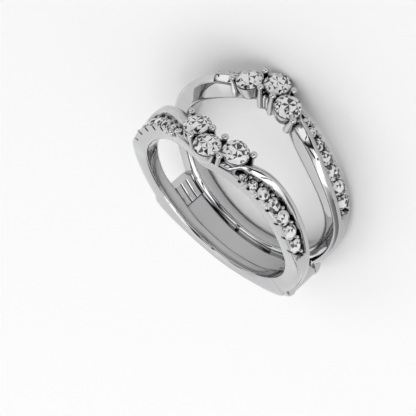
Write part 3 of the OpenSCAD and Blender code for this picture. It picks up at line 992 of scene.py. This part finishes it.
def studio_world():
    """A soft studio tent: light grey all round, darker on one side, with a pale ring overhead."""
    world = bpy.data.worlds.new("studio")
    world.use_nodes = True
    tree = world.node_tree
    place = add_node(tree, "ShaderNodeTexCoord").outputs["Generated"]

    def ramp(value, stops):
        """Greys over a value from -1 to 1, eased between the stops."""
        half = add_node(tree, "ShaderNodeMapRange", {"Value": value, "From Min": -1.0})
        node = add_node(tree, "ShaderNodeValToRGB", {"Fac": half.outputs["Result"]})
        node.color_ramp.interpolation = "EASE"
        while len(node.color_ramp.elements) < len(stops):
            node.color_ramp.elements.new(0.5)
        for element, (spot, grey) in zip(node.color_ramp.elements, stops):
            element.position = spot
            element.color = (grey, grey, grey, 1)
        return node.outputs["Color"]

    split = add_node(tree, "ShaderNodeSeparateXYZ", {"Vector": place})
    height = ramp(split.outputs["Z"], HEIGHT_GREYS)
    dark = add_node(tree, "ShaderNodeVectorMath", {0: place, 1: DARK_WAY}, operation="DOT_PRODUCT")
    dark_side = ramp(dark.outputs["Value"], SIDE_GREYS)
    background = tree.nodes["Background"]
    feed(tree, background.inputs["Color"], blend(tree, 1.0, height, dark_side, "MULTIPLY"))
    feed(tree, background.inputs["Strength"], TENT_STRENGTH)
    bpy.context.scene.world = world


make_floor()
glow_card("key_card", (-0.13, 0.24, 0.33), 0.60, 0.50, strength=1.5)
area_light("fill_softbox", (0.26, 0.02, 0.24), (0, 0, 0), (0.32, 0.32), power=0.36)
studio_world()
bpy.context.scene.view_settings.view_transform = "Standard"

# where the photograph was taken from, round the upright ring: angles, distance in millimetres,
# then the lens, the picture and the ring's centre in pixels, and the width of the camera's sensor
AZIMUTH, ELEVATION, ROLL = math.radians(39.80), math.radians(53.48), math.radians(2.36)
DISTANCE = 178.84
FOCAL_PX, PICTURE_PX = 1885.5, 416.0
CENTRE_PX = (239.80, 187.72)
SENSOR = 36.0


def make_camera():
    """The camera at the photograph's angle to the ring."""
    a, e = AZIMUTH, ELEVATION
    back = np.array([math.sin(a) * math.cos(e), -math.cos(a) * math.cos(e), math.sin(e)])
    level = np.array([math.cos(a), math.sin(a), 0])
    upright = np.cross(back, level)
    right = math.cos(ROLL) * level + math.sin(ROLL) * upright
    up = -math.sin(ROLL) * level + math.cos(ROLL) * upright
    # the lens looks at the picture's middle, not at the ring's centre
    pan = math.atan((PICTURE_PX / 2 - CENTRE_PX[0]) / FOCAL_PX)
    tilt = math.atan((PICTURE_PX / 2 - CENTRE_PX[1]) / FOCAL_PX)
    look = -back + right * math.tan(pan) - up * math.tan(tilt)
    look /= np.linalg.norm(look)
    right = right - look * (right @ look)
    right /= np.linalg.norm(right)
    up = np.cross(right, look)
    axes = [to_row([d])[0] / MM for d in (right, up, -look)]
    place = to_row([back * DISTANCE])[0]
    data = bpy.data.cameras.new("photo_camera")
    data.sensor_width = SENSOR
    data.lens = FOCAL_PX / PICTURE_PX * SENSOR
    data.clip_start, data.clip_end = 0.01, 5.0
    obj = new_object("photo_camera", data)
    matrix = Matrix.Identity(4)
    for i in range(3):
        for j in range(3):
            matrix[j][i] = axes[i][j]
        matrix[i][3] = place[i]
    obj.matrix_world = matrix
    bpy.context.scene.camera = obj


make_camera()

flag_paint, flag_tree = new_material("black_flag")
set_shader(flag_tree, {"Base Color": (0.01, 0.01, 0.01, 1), "Roughness": 1.0, "Specular IOR Level": 0.0})


def black_flag():
    """A black square behind the camera, which polished metal mirrors."""
    eye = bpy.context.scene.camera.matrix_world
    right, up, back = (eye.col[i].to_3d() for i in range(3))
    behind = eye.translation + back.normalized() * FLAG_BACK
    stage_plane("camera_flag", behind, right * FLAG_HALF, up * FLAG_HALF, flag_paint)


def black_card(name, azimuth, height, width, length, turn):
    """A slim black card that faces the ring, for thin dark lines in the metal and the stones."""
    a, e, t = math.radians(azimuth), math.radians(height), math.radians(turn)
    out = Vector((math.cos(a) * math.cos(e), math.sin(a) * math.cos(e), math.sin(e)))
    side = Vector((-math.sin(a), math.cos(a), 0))
    up = out.cross(side)
    across = side * math.cos(t) + up * math.sin(t)
    along = up * math.cos(t) - side * math.sin(t)
    stage_plane(name, out * CARD_AWAY, across * width / 2, along * length / 2, flag_paint)


black_flag()
# name, direction round the ring and height over the floor in degrees, width, length, turn
for card in [
    ("card_right", 22, 42, 0.022, 0.20, 12),
    ("card_left", 104, 44, 0.022, 0.20, -12),
    ("card_top", 64, 76, 0.18, 0.024, 0),
    ("card_low", 66, 9, 0.26, 0.022, 0),
    ("card_back", 152, 30, 0.024, 0.18, 20),
    ("card_side", 338, 34, 0.03, 0.18, -20),
    ("card_far", 205, 46, 0.024, 0.16, 30),
]:
    black_card(*card)
